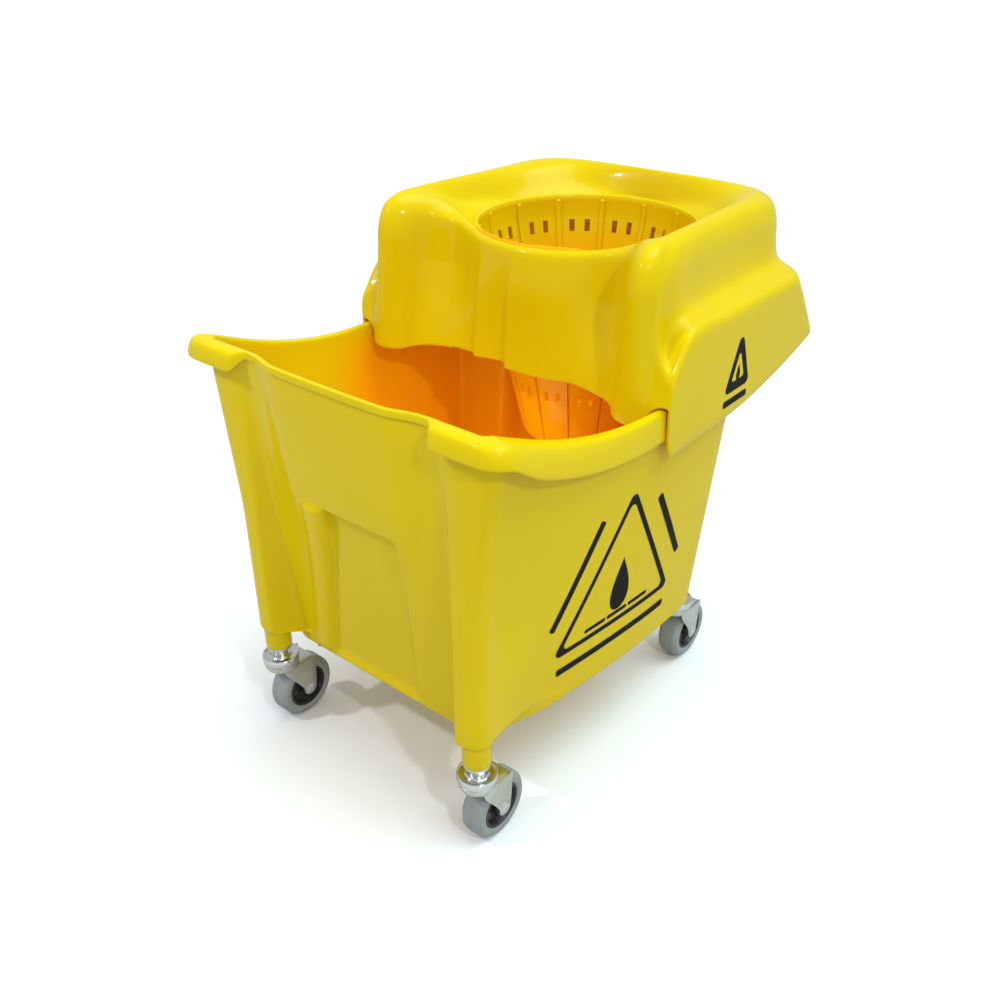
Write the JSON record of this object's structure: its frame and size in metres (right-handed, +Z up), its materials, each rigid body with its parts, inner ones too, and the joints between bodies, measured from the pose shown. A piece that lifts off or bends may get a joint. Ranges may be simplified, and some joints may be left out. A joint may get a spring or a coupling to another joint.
{
  "type": "mop bucket with wringer",
  "caption": "Wheeled moulded mop bucket with a cone wringer hood that straddles the rim, on swivel casters with grey wheels.",
  "frame": {"origin": "on the floor, under the middle of the whole object's box", "axes": "+Z up, the pouring edge faces -Y, the wringer stands at +Y, +X to the object's left-hand side seen from the front"},
  "size_m": [0.425, 0.6021, 0.588],
  "materials": {
    "bucket_plastic": "glossy moulded yellow",
    "wringer_plastic": "glossy moulded yellow",
    "zinc": "zinc-plated steel",
    "bright_steel": "bright-plated steel",
    "wheel_core": "black moulded plastic",
    "tread_rubber": "grey non-marking rubber",
    "print_black": "screen print"
  },
  "bodies": {
    "bucket": {"bucket_shell": "bucket_plastic", "front_left_socket": "zinc", "front_left_stem": "zinc", "front_left_bearing_cup": "bright_steel", "front_left_balls": "bright_steel", "front_right_socket": "zinc", "front_right_stem": "zinc", "front_right_bearing_cup": "bright_steel", "front_right_balls": "bright_steel", "rear_left_socket": "zinc", "rear_left_stem": "zinc", "rear_left_bearing_cup": "bright_steel", "rear_left_balls": "bright_steel", "rear_right_socket": "zinc", "rear_right_stem": "zinc", "rear_right_bearing_cup": "bright_steel", "rear_right_balls": "bright_steel"},
    "wringer": {"wringer_hood": "wringer_plastic", "wringer_cone": "wringer_plastic", "cone_screws": "zinc"},
    "front_left_caster": {"front_left_fork": "zinc", "front_left_axle": "bright_steel", "front_left_bush": "bright_steel"},
    "front_left_wheel": {"front_left_hub": "wheel_core", "front_left_tread": "tread_rubber"},
    "front_right_caster": {"front_right_fork": "zinc", "front_right_axle": "bright_steel", "front_right_bush": "bright_steel"},
    "front_right_wheel": {"front_right_hub": "wheel_core", "front_right_tread": "tread_rubber"},
    "rear_left_caster": {"rear_left_fork": "zinc", "rear_left_axle": "bright_steel", "rear_left_bush": "bright_steel"},
    "rear_left_wheel": {"rear_left_hub": "wheel_core", "rear_left_tread": "tread_rubber"},
    "rear_right_caster": {"rear_right_fork": "zinc", "rear_right_axle": "bright_steel", "rear_right_bush": "bright_steel"},
    "rear_right_wheel": {"rear_right_hub": "wheel_core", "rear_right_tread": "tread_rubber"}
  },
  "joints": [
    {"name": "wringer_lift", "type": "slide", "parent": "bucket", "child": "wringer", "axis": [0, 0, 1], "range_m": [0, 0.35]},
    {"name": "front_left_swivel", "type": "hinge", "parent": "bucket", "child": "front_left_caster", "pos_m": [-0.152, -0.2684, 0.09], "axis": [0, 0, 1], "continuous": true},
    {"name": "front_left_roll", "type": "hinge", "parent": "front_left_caster", "child": "front_left_wheel", "pos_m": [-0.152, -0.244, 0.0381], "axis": [1, 0, 0], "continuous": true},
    {"name": "front_right_swivel", "type": "hinge", "parent": "bucket", "child": "front_right_caster", "pos_m": [0.152, -0.2684, 0.09], "axis": [0, 0, 1], "continuous": true},
    {"name": "front_right_roll", "type": "hinge", "parent": "front_right_caster", "child": "front_right_wheel", "pos_m": [0.152, -0.244, 0.0381], "axis": [1, 0, 0], "continuous": true},
    {"name": "rear_left_swivel", "type": "hinge", "parent": "bucket", "child": "rear_left_caster", "pos_m": [-0.152, 0.1241, 0.09], "axis": [0, 0, 1], "continuous": true},
    {"name": "rear_left_roll", "type": "hinge", "parent": "rear_left_caster", "child": "rear_left_wheel", "pos_m": [-0.152, 0.1485, 0.0381], "axis": [1, 0, 0], "continuous": true},
    {"name": "rear_right_swivel", "type": "hinge", "parent": "bucket", "child": "rear_right_caster", "pos_m": [0.152, 0.1241, 0.09], "axis": [0, 0, 1], "continuous": true},
    {"name": "rear_right_roll", "type": "hinge", "parent": "rear_right_caster", "child": "rear_right_wheel", "pos_m": [0.152, 0.1485, 0.0381], "axis": [1, 0, 0], "continuous": true}
  ]
}
